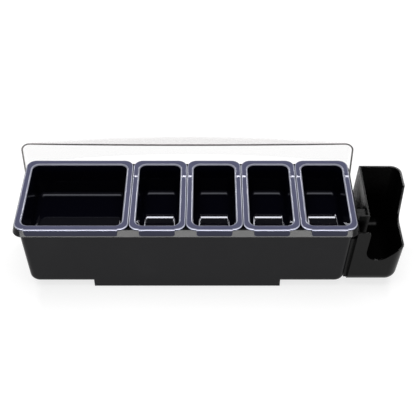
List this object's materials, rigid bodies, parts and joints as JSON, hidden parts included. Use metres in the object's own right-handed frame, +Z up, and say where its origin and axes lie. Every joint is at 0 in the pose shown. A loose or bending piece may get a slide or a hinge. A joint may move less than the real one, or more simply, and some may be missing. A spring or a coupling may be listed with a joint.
{
  "type": "bar condiment holder",
  "caption": "Long counter-top box with a row of lift-out garnish trays under a clear dome lid that swings back on end pivots, with a napkin caddy that clips on at one end.",
  "frame": {"origin": "on the counter, under the middle of the box", "axes": "+X along the box towards the caddy, +Y to the back, +Z up"},
  "size_m": [0.5755, 0.2282, 0.1602],
  "materials": {
    "box_plastic": "satin black moulded plastic",
    "caddy_plastic": "satin black moulded plastic",
    "tray_plastic": "polished navy-black",
    "lid_clear": "clear, polished",
    "foot_rubber": "matte rubber",
    "pin_steel": "turned stainless steel",
    "bush_plastic": "natural acetal"
  },
  "bodies": {
    "box": {"base_box": "box_plastic", "quart_tray": "tray_plastic", "pint_tray_1": "tray_plastic", "pint_tray_2": "tray_plastic", "pint_tray_3": "tray_plastic", "pint_tray_4": "tray_plastic", "front_left_foot": "foot_rubber", "front_right_foot": "foot_rubber", "back_left_foot": "foot_rubber", "back_right_foot": "foot_rubber", "left_pivot_pin": "pin_steel", "right_pivot_pin": "pin_steel"},
    "lid": {"dome_lid": "lid_clear", "left_pivot_bush": "bush_plastic", "right_pivot_bush": "bush_plastic"},
    "caddy": {"napkin_caddy": "caddy_plastic"}
  },
  "joints": [
    {"name": "lid_swing", "type": "hinge", "parent": "box", "child": "lid", "pos_m": [0, 0.01625, 0.06725], "axis": [1, 0, 0], "range_deg": [0, 90]},
    {"name": "caddy_pull", "type": "slide", "parent": "box", "child": "caddy", "axis": [1, 0, 0], "range_m": [0, 0.03]}
  ]
}
